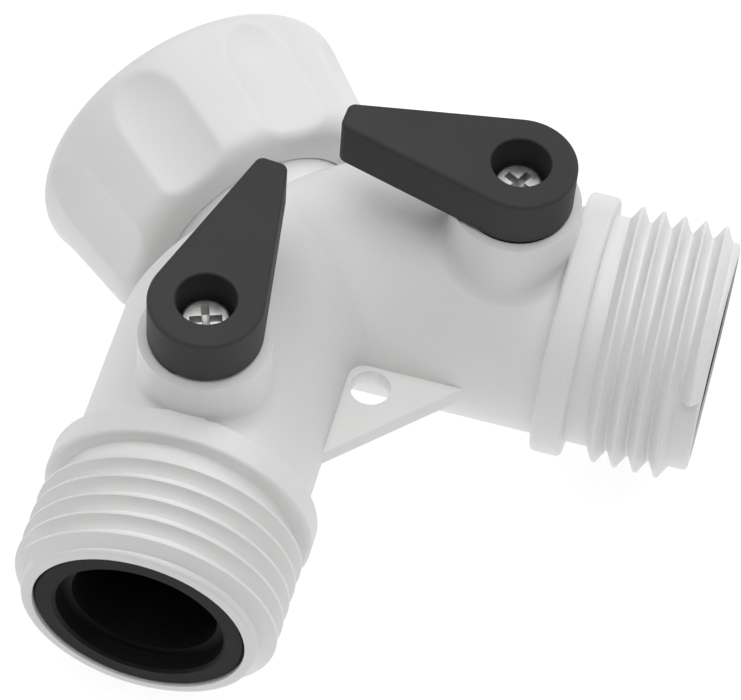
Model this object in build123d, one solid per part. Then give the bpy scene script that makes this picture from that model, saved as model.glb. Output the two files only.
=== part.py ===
from build123d import *
from build123d.topology import SkipClean
import math
import os

# Garden hose splitter: one swivel inlet, two outlets at right angles, a ball valve on each.
# Millimetres. The origin is the centre of the inlet nut's mouth. +Y points out of the
# inlet, +Z points up through the levers, and +X is the side of the right outlet.

# ---- Layout of the moulded body ------------------------------------------------------
leg_angle = 45.0             # each leg's turn away from the inlet's own line
pivot_distance = 25.0        # from where the legs meet to the valve's vertical axis
outlet_length = 22.6         # valve axis to outlet mouth, along the leg
nut_back_gap = 2.3           # nut's back to where the leg axes meet

barrel_wall = 2.5            # around the ball's chamber
barrel_overlap = 2.0         # each barrel runs this far past the junction into the other
barrel_edge_round = 2.4      # round on the edge that faces the swivel nut
crotch_round = 1.8           # round in the vertical valley between the legs
collar_offset = 6.3          # valve axis to the collar behind the thread
collar_length = 3.2
collar_radius = 13.8
collar_round = 0.5
outlet_edge_round = 0.5

boss_wall = 1.05             # around the stop's pocket in the boss
boss_top = 18.05
boss_round = 1.6             # round where the boss meets the barrel

web_thickness = 2.0
web_sunk = 2.1               # how far the plate runs into the valley between the legs
web_reach = 8.2              # valley to the web's straight outer edge
web_hole_offset = 3.6        # valley to the hanging hole's centre
web_hole_radius = 2.1

# ---- Garden hose thread, 3/4-11.5 NH ---------------------------------------------------
thread_pitch = 25.4 / 11.5
flank_angle = 30.0
male_crest_radius = 13.495
male_root_radius = 12.06
male_crest_width = 0.28
male_end_margin = 1.17       # outlet mouth to the middle of the last turn
male_end_turn = 60.0         # where that turn stops, degrees from straight up
male_turns = 4.6             # plain root is left between the collar and the first turn
ridge_sunk = 0.15            # how far a thread's ridge runs on into its core
ridge_proud = 0.1            # how far it stands past the crest before it is trimmed
female_crest_radius = 12.25
female_root_radius = 13.65
female_root_width = 0.28
female_thread_depth = 8.4
female_end_turn = 30.0       # where the groove leaves the mouth, degrees from straight up
female_entry_radius = 13.8
female_entry_depth = 0.5

# ---- Swivel nut, its washer and the spigot that it turns on ------------------------------
nut_lip = 2.15               # thickness of the lip that holds the nut behind the bead
nut_mouth_radius = 17.9
nut_back_radius = 15.9
nut_mouth_round = 1.3
nut_back_round = 2.3
scallop_count = 8
scallop_phase = 17.0         # first scallop's turn from straight up
scallop_radius = 12.0
scallop_depth = 0.95
scallop_margin = 3.2         # plain rim between the mouth and the scallops
scallop_round = 1.2
nut_cavity_radius = 12.9     # smooth space behind the thread, for washer and bead

washer_thickness = 2.7
washer_clearance = 0.2       # washer's edge to the nut's cavity
washer_inner_radius = 7.9
washer_gap = 0.1
washer_round = 0.3

spigot_radius = 11.0
spigot_bore = 8.0
spigot_gap = 3.0             # nut's thread to the face that the washer seals on
spigot_root = 3.0            # how far the spigot's solid runs on into the barrels
bead_height = 1.0            # snap bead that keeps the nut on
bead_length = 2.0
bead_lead = 0.8
nut_play = 0.15              # radial and axial room for the nut to turn

# ---- Valve -------------------------------------------------------------------------------
ball_radius = 8.5
ball_bore = 5.2
seat_bore = 5.8
seat_length = 3.9
seat_cup = 0.6               # how far the seat reaches round the ball past its bore's edge
seat_clearance = 0.05
chamber_gap = 1.1            # ball to the chamber's wall
chamber_clearance = 0.1      # room round the seats and the retainer's inner end
passage_radius = 6.5

retainer_bore = 7.4
retainer_mouth_wall = 2.2
retainer_mouth_depth = 2.0
retainer_ledge = 1.15        # how much wider the retainer's outer end is than the chamber
retainer_neck = 3.5          # outer seat to where the retainer grows to that width
retainer_fit = 0.05
retainer_recess = 0.2        # retainer's front below the outlet mouth
retainer_ring_cord = 1.06
retainer_ring_inset = 1.7    # O-ring's middle from the retainer's inner end
retainer_edge = 0.3

stem_radius = 3.5
stem_fit = 0.05
stem_flange_width = 0.9      # how far the flange stands out from the stem
stem_flange_gap = 0.25       # ball to the flange
stem_flange_height = 1.8
stem_top_gap = 0.05          # stem's top below the boss's top
drive_corner = 0.25          # corners of the square drive inside the stem's radius
drive_fit = 0.05
tang_width = 3.0
tang_fit = 0.1
tang_gap = 0.9               # tang's lower end above the ball's bore
tang_overlap = 0.5           # how far the tang's solid runs on into the flange
stem_ring_cord = 1.04
stem_ring_start = 1.2        # flange pocket to the lower O-ring
stem_ring_spacing = 1.8
ring_clearance = 0.05        # air between an O-ring and the bore that it seals
groove_extra = 0.16          # groove width beyond the O-ring's cord
pocket_clearance = 0.2

# ---- Lever and its screw -----------------------------------------------------------------
lever_gap = 0.15             # boss to the lever's underside
lever_thickness = 5.8
lever_rim = 0.3              # lever's round end past the stop lug
lever_reach = 18.3           # pivot to the tip's flat end
lever_tip_width = 3.4
lever_tip_round = 0.9
lever_edge_round = 0.45
lever_rest_turn = {"left": 4.9, "right": 2.9}    # clockwise from full open, degrees
lever_travel = 90.0
hub_wall = 0.95              # lever's hub around the stem
hub_depth = 3.0
hub_clearance = 0.15
hub_overlap = 1.0            # how far the hub's solid runs on into the lever
counterbore_radius = 3.0
counterbore_web = 0.85       # between the drive socket and the screw's seat
counterbore_chamfer = 0.12
stop_width = 0.95            # how far the stop lug stands out from the hub
stop_height = 1.8
stop_span = 28.0             # degrees that the stop lug covers
stop_play = 0.6              # degrees of room past each end of the travel
stop_centre = 150.0          # lug's turn from the lever's own line
stop_overlap = 0.5           # how far the lug's solid runs on into hub and lever

screw_head_radius = 2.5
screw_head_height = 1.8
screw_head_round = 0.35
screw_radius = 1.45
screw_length = 6.0
screw_fit = 0.1
screw_hole_extra = 0.6
recess_width = 0.8
recess_span = 3.2
recess_depth = 1.3
recess_taper = 8.0
screw_turn = {"left": 20.0, "right": 62.0}

SIDES = {"left": -1, "right": 1}
FULL_TURN = 360.0
BEYOND = 60.0                # longer than anything that it has to cut through
OVERRUN = 1.0                # how far a cut runs past the face that it opens

# ---- Sizes that follow from those above ----------------------------------------------------
spigot_face_depth = female_thread_depth + spigot_gap
nut_lip_face = -(spigot_face_depth + bead_length + nut_play)
nut_length = nut_lip - nut_lip_face
nut_lip_bore = spigot_radius + nut_play
bead_radius = spigot_radius + bead_height
washer_outer_radius = nut_cavity_radius - washer_clearance
junction_y = -(nut_length + nut_back_gap)

chamber_radius = ball_radius + chamber_gap
barrel_radius = chamber_radius + barrel_wall
leg_length = pivot_distance + outlet_length
collar_start = pivot_distance + collar_offset
collar_end = collar_start + collar_length
male_thread_end = leg_length - male_end_margin
male_thread_start = male_thread_end - male_turns * thread_pitch
valley_distance = barrel_radius / math.sin(math.radians(leg_angle))
web_start = valley_distance - web_sunk
web_end = valley_distance + web_reach

seat_radius = chamber_radius - chamber_clearance
seat_edge = math.sqrt(ball_radius**2 - seat_bore**2)
inner_seat_start = pivot_distance - seat_edge - seat_length + seat_cup
outer_seat_end = 2 * pivot_distance - inner_seat_start
retainer_radius = chamber_radius + retainer_ledge
retainer_mouth_bore = retainer_radius - retainer_mouth_wall
retainer_step = outer_seat_end + retainer_neck
retainer_groove_radius = chamber_radius - ring_clearance - retainer_ring_cord
mouth_bore_radius = retainer_radius + retainer_fit
mouth_bore_start = retainer_step - retainer_fit

lever_bottom = boss_top + lever_gap
lever_top = lever_bottom + lever_thickness
stem_top = boss_top - stem_top_gap
counterbore_floor = stem_top + drive_fit + counterbore_web
hub_bottom = lever_bottom - hub_depth
recess_floor = hub_bottom - pocket_clearance
hub_radius = stem_radius + hub_wall
hub_hole_radius = hub_radius + hub_clearance
stop_radius = hub_radius + stop_width
lever_round_radius = stop_radius + lever_rim
boss_radius = stop_radius + hub_clearance + boss_wall

stem_hole_radius = stem_radius + stem_fit
stem_flange_radius = stem_radius + stem_flange_width
stem_flange_bottom = ball_radius + stem_flange_gap
stem_flange_top = stem_flange_bottom + stem_flange_height
stem_groove_radius = stem_hole_radius - ring_clearance - stem_ring_cord
drive_width = math.sqrt(2) * (stem_radius - drive_corner)
tang_bottom = ball_bore + tang_gap
pocket_radius = stem_flange_radius + pocket_clearance
pocket_top = stem_flange_top + hub_clearance
stem_ring_heights = {
    "lower": pocket_top + stem_ring_start,
    "upper": pocket_top + stem_ring_start + stem_ring_spacing,
}


# ---- Helpers -------------------------------------------------------------------------------
def leg_direction(side):
    turn = math.radians(leg_angle)
    return Vector(SIDES[side] * math.sin(turn), -math.cos(turn), 0)


def leg_frame(side):
    """Z runs out along the leg from the junction, X points straight up."""
    return Plane(origin=(0, junction_y, 0), x_dir=(0, 0, 1), z_dir=leg_direction(side))


def inlet_frame():
    """Z runs out of the inlet from the nut's mouth, X points straight up."""
    return Plane(origin=(0, 0, 0), x_dir=(0, 0, 1), z_dir=(0, 1, 0))


def valve_frame(side, turn=0.0):
    """Z is the valve's vertical axis, X points from it back to the junction."""
    origin = Vector(0, junction_y, 0) + leg_direction(side) * pivot_distance
    frame = Plane(origin=origin, x_dir=leg_direction(side) * -1, z_dir=(0, 0, 1))
    return frame.rotated((0, 0, turn))


def cylinder(radius, start, end):
    """A cylinder about local Z between two heights."""
    body = Cylinder(radius, end - start, align=(Align.CENTER, Align.CENTER, Align.MIN))
    return Pos(0, 0, start) * body


def block(size_x, size_y, start, end):
    """A box about local Z between two heights."""
    body = Box(size_x, size_y, end - start, align=(Align.CENTER, Align.CENTER, Align.MIN))
    return Pos(0, 0, start) * body


def turned(points):
    """A solid of revolution about local Z from its (radius, height) outline."""
    outline = Polyline(*[(radius, 0, height) for radius, height in points], close=True)
    return revolve(make_face(outline), axis=Axis.Z)


def ring(centre_radius, cord, height):
    """An O-ring lying flat about local Z."""
    return Pos(0, 0, height) * Torus(centre_radius, cord / 2)


def sector(inner, outer, start, end, first, last):
    """A piece of a ring between two turns about local Z, counted from local X."""
    middle = Pos((inner + outer) / 2, 0, (start + end) / 2)
    section = middle * (Plane.XZ * Rectangle(outer - inner, end - start))
    return Rot(0, 0, first) * revolve(section, axis=Axis.Z, revolution_arc=last - first)


def thread_ridge(base_radius, tip_radius, flat_radius, flat_width, start, end, end_turn):
    """A helical ridge about local Z that is flat_width wide at flat_radius.

    Its middle climbs from start to end and stops at end_turn degrees from local X.
    """
    slope = math.tan(math.radians(flank_angle))

    def half_width(radius):
        return flat_width / 2 + (flat_radius - radius) * slope

    height = end - start
    path = Helix(pitch=thread_pitch, height=height, radius=flat_radius)
    base = base_radius - flat_radius
    tip = tip_radius - flat_radius
    corners = [
        (base, -half_width(base_radius)),
        (tip, -half_width(tip_radius)),
        (tip, half_width(tip_radius)),
        (base, half_width(base_radius)),
    ]
    section_plane = Plane(origin=path @ 0, x_dir=(1, 0, 0), z_dir=path % 0)
    section = section_plane * make_face(Polyline(*corners, close=True))
    ridge = sweep(section, path=path, is_frenet=True)
    first_turn = end_turn - FULL_TURN * height / thread_pitch
    return Pos(0, 0, start) * Rot(0, 0, first_turn) * ridge


def quarters(solid):
    """The same solid about local Z as four quarter pieces, which share their faces."""
    pieces = []
    for quarter in range(4):
        wedge = Pos(BEYOND / 2, BEYOND / 2, 0) * Box(BEYOND, BEYOND, 4 * BEYOND)
        pieces.append(solid & (Rot(0, 0, 90 * quarter) * wedge))
    return pieces


# ---- Moulded body ----------------------------------------------------------------------------
def edges_in_plane(solid, axis, value):
    """Edges that lie in the plane at one coordinate."""
    slack = 0.001
    return solid.edges().filter_by_position(axis, value - slack, value + slack)


def barrels():
    """Two barrels that meet in a rounded valley, cut flat where the nut turns."""
    left, right = [
        leg_frame(side) * cylinder(barrel_radius, -barrel_overlap, collar_end - collar_round)
        for side in SIDES
    ]
    nut_side = Pos(0, junction_y, 0) * Box(
        BEYOND, BEYOND, BEYOND, align=(Align.CENTER, Align.MIN, Align.CENTER)
    )
    pair = left + right - nut_side
    pair = fillet(edges_in_plane(pair, Axis.X, 0), crotch_round)
    return fillet(edges_in_plane(pair, Axis.Y, junction_y), barrel_edge_round)


def add_boss(shell, side):
    """A valve boss on top of a barrel, with a round where the two meet."""
    frame = valve_frame(side)
    joined = shell + frame * cylinder(boss_radius, 0, boss_top)
    axis = Vector(frame.origin.X, frame.origin.Y, 0)

    def on_boss_foot(edge):
        spots = [edge @ share for share in (0, 0.25, 0.5, 0.75, 1)]
        gaps = [abs((Vector(spot.X, spot.Y, 0) - axis).length - boss_radius) for spot in spots]
        return max(gaps) < 0.01 and max(spot.Z for spot in spots) < boss_top - 0.1

    foot = [edge for edge in joined.edges() if on_boss_foot(edge)]
    return fillet(foot, boss_round)


def web():
    """Flat plate between the legs; its straight outer edge runs across the fork."""
    width = 2 * web_end * math.tan(math.radians(leg_angle))
    plate = Pos(0, junction_y - web_start, 0) * Box(
        width, web_end - web_start, web_thickness,
        align=(Align.CENTER, Align.MAX, Align.CENTER),
    )
    hole_y = junction_y - valley_distance - web_hole_offset
    hole = Pos(0, hole_y, 0) * Cylinder(web_hole_radius, web_thickness * 2)
    return plate - hole


def collar_and_neck(side):
    """Collar behind the thread and the plain core that carries the thread."""
    collar = cylinder(collar_radius, collar_start, collar_end)
    collar = fillet(collar.edges().filter_by(GeomType.CIRCLE), collar_round)
    core = cylinder(male_root_radius, collar_start, leg_length)
    core = fillet(core.edges().group_by(Axis.Z)[-1], outlet_edge_round)
    return leg_frame(side) * (collar + core)


def male_thread(side):
    """Outlet thread with true cylindrical crests, as quarter pieces."""
    ridge = thread_ridge(
        male_root_radius - ridge_sunk, male_crest_radius + ridge_proud, male_crest_radius,
        male_crest_width, male_thread_start, male_thread_end, male_end_turn,
    )
    envelope = cylinder(male_crest_radius, collar_start, leg_length)
    return [leg_frame(side) * piece for piece in quarters(ridge & envelope)]


def spigot():
    """Inlet spigot with the snap bead that holds the swivel nut."""
    face = -spigot_face_depth
    back = face - bead_length
    outline = [
        (0, face),
        (bead_radius - bead_lead, face),
        (bead_radius, face - bead_lead),
        (bead_radius, back),
        (spigot_radius, back),
        (spigot_radius, junction_y - spigot_root),
        (0, junction_y - spigot_root),
    ]
    return inlet_frame() * turned(outline)


def waterways():
    """Inlet bore and, in each leg, the passage, the valve chamber and the mouth bore."""
    cuts = [inlet_frame() * cylinder(spigot_bore, junction_y, 0)]
    for side in SIDES:
        leg = leg_frame(side)
        cuts.append(leg * cylinder(passage_radius, 0, inner_seat_start))
        cuts.append(leg * cylinder(chamber_radius, inner_seat_start, leg_length))
        cuts.append(leg * cylinder(mouth_bore_radius, mouth_bore_start, leg_length))
    cuts.append(Pos(0, junction_y, 0) * Sphere(spigot_bore))
    return cuts


def stem_cuts(side):
    """Stem pocket, stem hole, lever recess and the arc that stops the lever."""
    frame = valve_frame(side)
    half = stop_span / 2 + stop_play
    return [
        frame * cylinder(pocket_radius, 0, pocket_top),
        frame * cylinder(stem_hole_radius, 0, boss_top),
        frame * cylinder(hub_hole_radius, recess_floor, boss_top + OVERRUN),
        frame * sector(
            hub_radius, stop_radius + hub_clearance, lever_bottom - stop_height - hub_clearance,
            boss_top + OVERRUN, stop_centre - lever_travel - half, stop_centre + half,
        ),
    ]


def make_valve_body():
    shell = barrels()
    for side in SIDES:
        shell = add_boss(shell, side)
    shell = shell + spigot() + web()
    for side in SIDES:
        shell = shell + collar_and_neck(side)
    for cut in waterways():
        shell = shell - cut
    for side in SIDES:
        for cut in stem_cuts(side):
            shell = shell - cut
    with SkipClean():
        for side in SIDES:
            for piece in male_thread(side):
                shell = shell + piece
    return shell


# ---- Swivel nut and washer ---------------------------------------------------------------------
def nut_blank():
    """Tapered nut with rounded ends, before the thread and the scallops are cut."""
    outline = [
        (nut_lip_bore, -nut_length),
        (nut_back_radius, -nut_length),
        (nut_mouth_radius, 0),
        (female_entry_radius, 0),
        (female_crest_radius, -female_entry_depth),
        (female_crest_radius, -female_thread_depth),
        (nut_cavity_radius, -female_thread_depth),
        (nut_cavity_radius, nut_lip_face),
        (nut_lip_bore, nut_lip_face),
    ]
    blank = turned(outline)
    circles = blank.edges().filter_by(GeomType.CIRCLE)
    back = [e for e in circles if abs(e.radius - nut_back_radius) < 0.01]
    blank = fillet(back, nut_back_round)
    mouth = [
        e for e in blank.edges().filter_by(GeomType.CIRCLE)
        if abs(e.radius - nut_mouth_radius) < 0.01
    ]
    return fillet(mouth, nut_mouth_round)


def scallop_cutter():
    """A round-ended bar that lies along the nut's slope and cuts one finger scallop."""
    slope = math.atan2(nut_mouth_radius - nut_back_radius, nut_length)
    run_out = math.sqrt(2 * scallop_radius * scallop_depth)
    tip = -(scallop_margin + run_out)
    surface = nut_mouth_radius + tip * math.tan(slope)
    centre = surface + scallop_radius - scallop_depth
    bar = Sphere(scallop_radius) + cylinder(scallop_radius, -nut_length, 0)
    return Pos(centre, 0, tip) * Rot(0, math.degrees(slope), 0) * bar


def scallop_rims(nut):
    """Edges where the scallops meet the nut's own surface."""
    cuts = [
        face for face in nut.faces()
        if face.geom_type in (GeomType.SPHERE, GeomType.CYLINDER)
        and abs(face.radius - scallop_radius) < 0.01
    ]
    borders = {}
    for face in cuts:
        for edge in face.edges():
            middle = edge.center()
            spot = (round(middle.X, 3), round(middle.Y, 3), round(middle.Z, 3))
            borders.setdefault(spot, []).append(edge)
    return [edges[0] for edges in borders.values() if len(edges) == 1]


def female_thread_groove():
    """The helical groove between the crests of the inlet thread."""
    start = -female_thread_depth - thread_pitch / 2
    end = thread_pitch / 2
    ridge = thread_ridge(
        female_crest_radius - ridge_sunk, female_root_radius + ridge_proud,
        female_root_radius, female_root_width, start, end, female_end_turn,
    )
    return ridge & cylinder(female_root_radius, start - thread_pitch, end + thread_pitch)


def make_swivel_nut():
    nut = nut_blank() - female_thread_groove()
    cutter = scallop_cutter()
    for index in range(scallop_count):
        turn = scallop_phase + FULL_TURN * index / scallop_count
        nut = nut - Rot(0, 0, turn) * cutter
    nut = fillet(scallop_rims(nut), scallop_round)
    with SkipClean():
        first, *others = quarters(nut)
        for piece in others:
            first = first + piece
    return inlet_frame() * first


def make_inlet_washer():
    front = -spigot_face_depth + washer_gap + washer_thickness
    body = cylinder(washer_outer_radius, front - washer_thickness, front)
    body = fillet(body.edges().filter_by(GeomType.CIRCLE), washer_round)
    hole = cylinder(washer_inner_radius, front - washer_thickness - OVERRUN, front + OVERRUN)
    return inlet_frame() * (body - hole)


# ---- Valve parts, each about its own valve axis or leg axis --------------------------------------
def seat_ball(clearance):
    return Pos(0, 0, pivot_distance) * Sphere(ball_radius + clearance)


def make_inner_seat(side):
    body = cylinder(seat_radius, inner_seat_start, inner_seat_start + seat_length)
    body = body - cylinder(seat_bore, inner_seat_start - OVERRUN, pivot_distance)
    return leg_frame(side) * (body - seat_ball(seat_clearance))


def make_outer_seat(side):
    body = cylinder(seat_radius, outer_seat_end - seat_length, outer_seat_end)
    body = body - cylinder(seat_bore, pivot_distance, outer_seat_end + OVERRUN)
    return leg_frame(side) * (body - seat_ball(seat_clearance))


def make_seat_retainer(side):
    front = leg_length - retainer_recess
    groove_middle = outer_seat_end + retainer_ring_inset
    groove_half = (retainer_ring_cord + groove_extra) / 2
    ledge = front - retainer_mouth_depth
    edge = retainer_edge
    outline = [
        (retainer_bore, outer_seat_end),
        (seat_radius, outer_seat_end),
        (seat_radius, groove_middle - groove_half),
        (retainer_groove_radius, groove_middle - groove_half),
        (retainer_groove_radius, groove_middle + groove_half),
        (seat_radius, groove_middle + groove_half),
        (seat_radius, retainer_step),
        (retainer_radius, retainer_step),
        (retainer_radius, front - edge),
        (retainer_radius - edge, front),
        (retainer_mouth_bore + edge, front),
        (retainer_mouth_bore, front - edge),
        (retainer_mouth_bore, ledge),
        (retainer_bore, ledge),
    ]
    return leg_frame(side) * turned(outline)


def make_retainer_o_ring(side):
    centre = retainer_groove_radius + retainer_ring_cord / 2
    height = outer_seat_end + retainer_ring_inset
    return leg_frame(side) * ring(centre, retainer_ring_cord, height)


def make_ball(side):
    ball = Sphere(ball_radius)
    bore = Rot(0, 90, 0) * Cylinder(ball_bore, BEYOND)
    slot = block(tang_width + 2 * tang_fit, BEYOND, tang_bottom - tang_fit, BEYOND)
    return valve_frame(side, -lever_rest_turn[side]) * (ball - bore - slot)


def make_stem(side):
    tang = block(tang_width, BEYOND, tang_bottom, stem_flange_bottom + tang_overlap)
    tang = tang & cylinder(stem_flange_radius, 0, stem_top)
    stem = tang + cylinder(stem_flange_radius, stem_flange_bottom, stem_flange_top)
    stem = stem + cylinder(stem_radius, stem_flange_top, recess_floor)
    stem = stem + block(drive_width, drive_width, recess_floor, stem_top)
    for height in stem_ring_heights.values():
        half = (stem_ring_cord + groove_extra) / 2
        groove = cylinder(BEYOND, height - half, height + half)
        groove = groove - cylinder(stem_groove_radius, height - half, height + half)
        stem = stem - groove
    pilot_end = counterbore_floor - screw_length - screw_hole_extra
    pilot = cylinder(screw_radius + stem_fit, pilot_end, stem_top + OVERRUN)
    return valve_frame(side, -lever_rest_turn[side]) * (stem - pilot)


def make_stem_o_ring(side, level):
    centre = stem_groove_radius + stem_ring_cord / 2
    return valve_frame(side) * ring(centre, stem_ring_cord, stem_ring_heights[level])


def lever_outline():
    """Teardrop: a round end about the valve axis and straight sides to a blunt tip."""
    offset = lever_tip_width / 2 - lever_tip_round
    reach = lever_reach - lever_tip_round
    tips = [Pos(reach, way * offset) * Circle(lever_tip_round) for way in (-1, 1)]
    circles = [Circle(lever_round_radius), *tips]
    edges = [edge for circle in circles for edge in circle.edges()]
    return make_hull(edges)


def make_lever(side):
    plate = extrude(Pos(0, 0, lever_bottom) * lever_outline(), amount=lever_thickness)
    plate = fillet(plate.edges().group_by(Axis.Z)[-1], lever_edge_round)
    plate = fillet(plate.edges().group_by(Axis.Z)[0], lever_edge_round)
    lever = plate + cylinder(hub_radius, hub_bottom, lever_bottom + hub_overlap)
    lug = sector(
        hub_radius - stop_overlap, stop_radius, lever_bottom - stop_height,
        lever_bottom + stop_overlap, stop_centre - stop_span / 2, stop_centre + stop_span / 2,
    )
    lever = lever + lug
    lever = lever - cylinder(counterbore_radius, counterbore_floor, lever_top + OVERRUN)
    rim = [
        e for e in lever.edges().filter_by(GeomType.CIRCLE)
        if abs(e.radius - counterbore_radius) < 0.01 and e.center().Z > lever_top - 0.01
    ]
    lever = chamfer(rim, counterbore_chamfer)
    socket_top = stem_top + drive_fit
    socket = drive_width + 2 * drive_fit
    lever = lever - block(socket, socket, hub_bottom - OVERRUN, socket_top)
    lever = lever - cylinder(screw_radius + screw_fit, hub_bottom, counterbore_floor + OVERRUN)
    return valve_frame(side, -lever_rest_turn[side]) * lever


def make_lever_screw(side):
    """Pan-head screw with a cross recess."""
    head = cylinder(screw_head_radius, counterbore_floor, counterbore_floor + screw_head_height)
    head = fillet(head.edges().group_by(Axis.Z)[-1], screw_head_round)
    tip = counterbore_floor - screw_length
    shank = cylinder(screw_radius, tip, counterbore_floor + screw_head_height / 4)
    shank = chamfer(shank.edges().group_by(Axis.Z)[0], screw_radius / 3)
    top = counterbore_floor + screw_head_height
    cross = Rectangle(recess_span, recess_width) + Rectangle(recess_width, recess_span)
    recess = extrude(Pos(0, 0, top) * cross, amount=-recess_depth, taper=recess_taper)
    return valve_frame(side, screw_turn[side]) * (head + shank - recess)


# ---- Write one file for each piece -----------------------------------------------------------------
def all_parts():
    parts = {
        "valve_body": make_valve_body(),
        "swivel_nut": make_swivel_nut(),
        "inlet_washer": make_inlet_washer(),
    }
    for side in SIDES:
        parts[side + "_lever"] = make_lever(side)
        parts[side + "_lever_screw"] = make_lever_screw(side)
        parts[side + "_stem"] = make_stem(side)
        for level in stem_ring_heights:
            parts[side + "_stem_o_ring_" + level] = make_stem_o_ring(side, level)
        parts[side + "_ball"] = make_ball(side)
        parts[side + "_inner_seat"] = make_inner_seat(side)
        parts[side + "_outer_seat"] = make_outer_seat(side)
        parts[side + "_seat_retainer"] = make_seat_retainer(side)
        parts[side + "_retainer_o_ring"] = make_retainer_o_ring(side)
    return parts


os.makedirs("parts", exist_ok=True)
for name, part in all_parts().items():
    export_step(part, "parts/" + name + ".step")
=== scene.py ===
import math

import bpy
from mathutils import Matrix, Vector


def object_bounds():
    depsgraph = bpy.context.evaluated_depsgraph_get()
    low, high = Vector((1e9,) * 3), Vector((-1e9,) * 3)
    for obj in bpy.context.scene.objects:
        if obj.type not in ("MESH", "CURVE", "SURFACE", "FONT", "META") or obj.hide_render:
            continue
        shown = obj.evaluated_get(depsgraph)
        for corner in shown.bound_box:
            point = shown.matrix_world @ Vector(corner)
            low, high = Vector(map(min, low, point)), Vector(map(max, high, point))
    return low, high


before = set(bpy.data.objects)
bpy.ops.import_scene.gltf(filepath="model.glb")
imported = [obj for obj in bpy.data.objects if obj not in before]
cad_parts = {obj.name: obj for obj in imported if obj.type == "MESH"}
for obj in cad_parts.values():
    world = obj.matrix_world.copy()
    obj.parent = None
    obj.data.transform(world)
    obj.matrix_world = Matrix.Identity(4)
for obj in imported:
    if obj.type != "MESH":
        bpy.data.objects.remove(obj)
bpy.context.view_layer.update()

# Looks for the garden hose splitter. Everything is in metres, in the CAD model's frame: the
# origin is the centre of the inlet nut's mouth, +Y points out of the inlet, +Z up through
# the levers.

MM = 0.001

# ---- Camera sizes --------------------------------------------------------------------------
CAMERA_TARGET = Vector((0, -18.0, 0)) * MM   # where the two legs and the inlet meet
CAMERA_AZIMUTH = -34.18                      # degrees, 0 looks along +Y
CAMERA_ELEVATION = 54.35
CAMERA_ROLL = 4.9
CAMERA_DISTANCE = 375.7 * MM
CAMERA_RIGHT = 10.47 * MM                    # sideways and upward steps of the camera
CAMERA_UP = -10.45 * MM
CAMERA_LENS = 174.3                          # millimetres
CAMERA_SENSOR = 36.0                         # millimetres wide
CAMERA_NEAREST = 0.01
CAMERA_FARTHEST = 10.0

# ---- Light and floor sizes -----------------------------------------------------------------
# Each light's name, place, width and depth, and power in watts.
LIGHTS = [
    ("overhead", (0.05, -0.05, 0.75), (1.1, 1.0), 6.0),
    ("back_left", (-0.5, 0.45, 0.45), (0.5, 0.4), 0.9),
    ("right", (0.65, 0.1, 0.4), (0.4, 0.4), 1.3),
]
LIGHT_TARGET = Vector((0, -0.02, 0))
WORLD_STRENGTH = 0.06
WHITE = (1.0, 1.0, 1.0, 1.0)
FLOOR_HALF_WIDTH = 3.0
FLOOR_COLOUR = (0.4, 0.4, 0.4, 1.0)
FLOOR_ROUGHNESS = 0.9
FLOOR_GLOW = 0.75                            # keeps the floor white between the soft lights

# ---- Material sizes: scales are per metre, bump depths in metres ---------------------------
RAMP_START = 0.3                             # noise below this has the dark colour
RAMP_END = 0.7
CLOUD_SCALE = 55.0                           # flow clouds in moulded plastic
CLOUD_DETAIL = 3.0
GLOSS_SCALE = 180.0                          # patches of different gloss
GLOSS_DETAIL = 5.0
GLOSS_MIX = 0.6
GLOSS_SPREAD = 0.06
WAVE_SCALE = 130.0                           # slow waves left by the mould
WAVE_DETAIL = 2.0
WAVE_STRENGTH = 0.25
WAVE_DEPTH = 0.0003
GRAIN_DETAIL = 3.0
GRAIN_MIX = 0.65
GRAIN_STRENGTH = 0.6
SCATTER_COLOUR = (1.0, 0.95, 0.9)
SCATTER_DEPTH = 0.0015
ZINC_DARK = (0.55, 0.55, 0.54)
ZINC_LIGHT = (0.8, 0.8, 0.79)
ZINC_HAZE_SCALE = 900.0
ZINC_HAZE_DETAIL = 4.0
ZINC_SMOOTHEST = 0.22
ZINC_ROUGHEST = 0.42
SCRATCH_SCALE = 5000.0
SCRATCH_DETAIL = 2.0
SCRATCH_STRENGTH = 0.3
SCRATCH_DEPTH = 0.00002


# ---- Camera --------------------------------------------------------------------------------
def add_camera():
    """The camera at the photograph's viewing angle."""
    azimuth = math.radians(CAMERA_AZIMUTH)
    elevation = math.radians(CAMERA_ELEVATION)
    roll = math.radians(CAMERA_ROLL)
    back = Vector((
        math.sin(azimuth) * math.cos(elevation),
        -math.cos(azimuth) * math.cos(elevation),
        math.sin(elevation),
    ))
    level = Vector((0, 0, 1)).cross(back).normalized()
    upright = back.cross(level)
    right = level * math.cos(roll) + upright * math.sin(roll)
    up = upright * math.cos(roll) - level * math.sin(roll)
    data = bpy.data.cameras.new("camera")
    data.sensor_width = CAMERA_SENSOR
    data.lens = CAMERA_LENS
    data.clip_start = CAMERA_NEAREST
    data.clip_end = CAMERA_FARTHEST
    camera = bpy.data.objects.new("camera", data)
    matrix = camera.matrix_world.copy()
    place = CAMERA_TARGET + back * CAMERA_DISTANCE + right * CAMERA_RIGHT + up * CAMERA_UP
    for column, direction in enumerate((right, up, back, place)):
        for row in range(3):
            matrix[row][column] = direction[row]
    camera.matrix_world = matrix
    bpy.context.scene.collection.objects.link(camera)
    bpy.context.scene.camera = camera


# ---- Light and floor -----------------------------------------------------------------------
def add_area_light(name, place, size, power):
    data = bpy.data.lights.new(name, "AREA")
    data.shape = "RECTANGLE"
    data.size, data.size_y = size
    data.energy = power
    light = bpy.data.objects.new(name, data)
    light.location = place
    aim = LIGHT_TARGET - Vector(place)
    light.rotation_euler = aim.to_track_quat("-Z", "Y").to_euler()
    bpy.context.scene.collection.objects.link(light)


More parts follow.
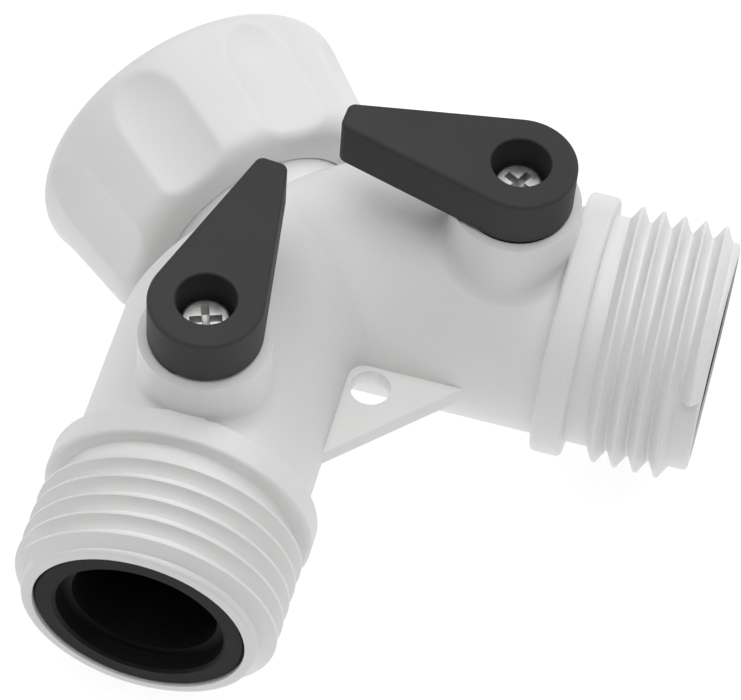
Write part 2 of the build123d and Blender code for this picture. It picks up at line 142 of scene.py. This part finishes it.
def add_lights():
    for name, place, size, power in LIGHTS:
        add_area_light(name, place, size, power)
    world = bpy.data.worlds.new("studio")
    world.use_nodes = True
    background = world.node_tree.nodes["Background"]
    background.inputs["Color"].default_value = WHITE
    background.inputs["Strength"].default_value = WORLD_STRENGTH
    bpy.context.scene.world = world
    bpy.context.scene.view_settings.view_transform = "Standard"


def add_floor():
    """A wide pale floor at the part's lowest point."""
    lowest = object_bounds()[0][2]
    half = FLOOR_HALF_WIDTH
    mesh = bpy.data.meshes.new("floor")
    corners = [
        (-half, -half, lowest),
        (half, -half, lowest),
        (half, half, lowest),
        (-half, half, lowest),
    ]
    mesh.from_pydata(corners, [], [(0, 1, 2, 3)])
    floor = bpy.data.objects.new("floor", mesh)
    bpy.context.scene.collection.objects.link(floor)
    material = new_material("floor_white")
    shader = material.node_tree.nodes["Principled BSDF"]
    shader.inputs["Base Color"].default_value = FLOOR_COLOUR
    shader.inputs["Roughness"].default_value = FLOOR_ROUGHNESS
    shader.inputs["Emission Color"].default_value = WHITE
    shader.inputs["Emission Strength"].default_value = FLOOR_GLOW
    mesh.materials.append(material)


# ---- Material nodes ------------------------------------------------------------------------
def new_material(name):
    material = bpy.data.materials.new(name)
    material.use_nodes = True
    return material


def object_position(nodes):
    """Coordinates that stay with the piece."""
    return nodes.new("ShaderNodeTexCoord").outputs["Object"]


def noise(nodes, links, coordinates, scale, detail, roughness=0.5):
    node = nodes.new("ShaderNodeTexNoise")
    node.inputs["Scale"].default_value = scale
    node.inputs["Detail"].default_value = detail
    node.inputs["Roughness"].default_value = roughness
    links.new(coordinates, node.inputs["Vector"])
    return node.outputs["Fac"]


def remap(nodes, links, value, low, high):
    """A 0 to 1 value spread over low to high."""
    node = nodes.new("ShaderNodeMapRange")
    node.inputs["To Min"].default_value = low
    node.inputs["To Max"].default_value = high
    links.new(value, node.inputs["Value"])
    return node.outputs["Result"]


def bump(nodes, links, height, strength, distance, previous=None):
    """A bump normal, laid over a previous one where there is one."""
    node = nodes.new("ShaderNodeBump")
    node.inputs["Strength"].default_value = strength
    node.inputs["Distance"].default_value = distance
    links.new(height, node.inputs["Height"])
    if previous is not None:
        links.new(previous, node.inputs["Normal"])
    return node.outputs["Normal"]


def two_colours(nodes, links, value, dark, light):
    """A colour that goes from dark to light as the value rises."""
    node = nodes.new("ShaderNodeValToRGB")
    first, last = node.color_ramp.elements
    first.position = RAMP_START
    first.color = (*dark, 1.0)
    last.position = RAMP_END
    last.color = (*light, 1.0)
    links.new(value, node.inputs["Fac"])
    return node.outputs["Color"]


# ---- Materials -----------------------------------------------------------------------------
def moulded_plastic(
    name, light, dark, roughness, grain, grain_depth, specular=0.5, scatter=0.0
):
    """Moulded plastic: faint flow clouds in its colour and gloss, and a fine surface grain."""
    material = new_material(name)
    nodes = material.node_tree.nodes
    links = material.node_tree.links
    shader = nodes["Principled BSDF"]
    place = object_position(nodes)
    clouds = noise(nodes, links, place, CLOUD_SCALE, CLOUD_DETAIL)
    links.new(two_colours(nodes, links, clouds, dark, light), shader.inputs["Base Color"])
    patches = noise(nodes, links, place, GLOSS_SCALE, GLOSS_DETAIL, GLOSS_MIX)
    gloss = remap(nodes, links, patches, roughness - GLOSS_SPREAD, roughness + GLOSS_SPREAD)
    links.new(gloss, shader.inputs["Roughness"])
    waves = noise(nodes, links, place, WAVE_SCALE, WAVE_DETAIL)
    fine = noise(nodes, links, place, grain, GRAIN_DETAIL, GRAIN_MIX)
    soft = bump(nodes, links, waves, WAVE_STRENGTH, WAVE_DEPTH)
    normal = bump(nodes, links, fine, GRAIN_STRENGTH, grain_depth, soft)
    links.new(normal, shader.inputs["Normal"])
    shader.inputs["Specular IOR Level"].default_value = specular
    if scatter:
        shader.inputs["Subsurface Weight"].default_value = scatter
        shader.inputs["Subsurface Radius"].default_value = SCATTER_COLOUR
        shader.inputs["Subsurface Scale"].default_value = SCATTER_DEPTH
    return material


def white_plastic(name):
    """Satin white plastic that lets a little light into its surface."""
    return moulded_plastic(
        name, (0.86, 0.86, 0.855), (0.83, 0.83, 0.825), 0.42, 2400.0, 0.00002,
        specular=0.45, scatter=0.08,
    )


def zinc(name):
    """Bright zinc plate with fine scratches and a faint haze."""
    material = new_material(name)
    nodes = material.node_tree.nodes
    links = material.node_tree.links
    shader = nodes["Principled BSDF"]
    place = object_position(nodes)
    haze = noise(nodes, links, place, ZINC_HAZE_SCALE, ZINC_HAZE_DETAIL)
    colour = two_colours(nodes, links, haze, ZINC_DARK, ZINC_LIGHT)
    links.new(colour, shader.inputs["Base Color"])
    shader.inputs["Metallic"].default_value = 1.0
    gloss = remap(nodes, links, haze, ZINC_SMOOTHEST, ZINC_ROUGHEST)
    links.new(gloss, shader.inputs["Roughness"])
    scratches = noise(nodes, links, place, SCRATCH_SCALE, SCRATCH_DETAIL)
    normal = bump(nodes, links, scratches, SCRATCH_STRENGTH, SCRATCH_DEPTH)
    links.new(normal, shader.inputs["Normal"])
    return material


# ---- Painting the pieces -------------------------------------------------------------------
def paint(material, *names):
    for name in names:
        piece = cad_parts[name]
        piece.data.materials.clear()
        piece.data.materials.append(material)


def both(piece):
    """The names of a piece's left and right copies."""
    return "left_" + piece, "right_" + piece


def paint_all():
    white = white_plastic("white_plastic")
    nut_white = white_plastic("white_plastic_nut")
    charcoal = moulded_plastic(
        "charcoal_plastic", (0.056, 0.056, 0.058), (0.046, 0.046, 0.048), 0.62, 3200.0, 0.00005,
        specular=0.2,
    )
    ring_black = moulded_plastic(
        "ring_plastic", (0.012, 0.012, 0.0125), (0.009, 0.009, 0.0095), 0.55, 3200.0, 0.00003,
        specular=0.15,
    )
    ball_black = moulded_plastic(
        "ball_plastic", (0.02, 0.02, 0.02), (0.014, 0.014, 0.014), 0.25, 2400.0, 0.00001,
    )
    stem_white = moulded_plastic(
        "stem_plastic", (0.76, 0.76, 0.73), (0.72, 0.72, 0.69), 0.35, 2400.0, 0.00001,
    )
    seat_dark = moulded_plastic(
        "seat_plastic", (0.06, 0.06, 0.06), (0.05, 0.05, 0.05), 0.35, 2400.0, 0.00001,
    )
    black_rubber = moulded_plastic(
        "black_rubber", (0.022, 0.022, 0.022), (0.014, 0.014, 0.014), 0.62, 2600.0, 0.00003,
        specular=0.35,
    )
    steel = zinc("zinc_plate")
    paint(white, "valve_body")
    paint(nut_white, "swivel_nut")
    paint(black_rubber, "inlet_washer", *both("stem_o_ring_lower"), *both("stem_o_ring_upper"))
    paint(black_rubber, *both("retainer_o_ring"))
    paint(charcoal, *both("lever"))
    paint(steel, *both("lever_screw"))
    paint(stem_white, *both("stem"))
    paint(ball_black, *both("ball"))
    paint(seat_dark, *both("inner_seat"), *both("outer_seat"))
    paint(ring_black, *both("seat_retainer"))


add_camera()
add_lights()
add_floor()
paint_all()
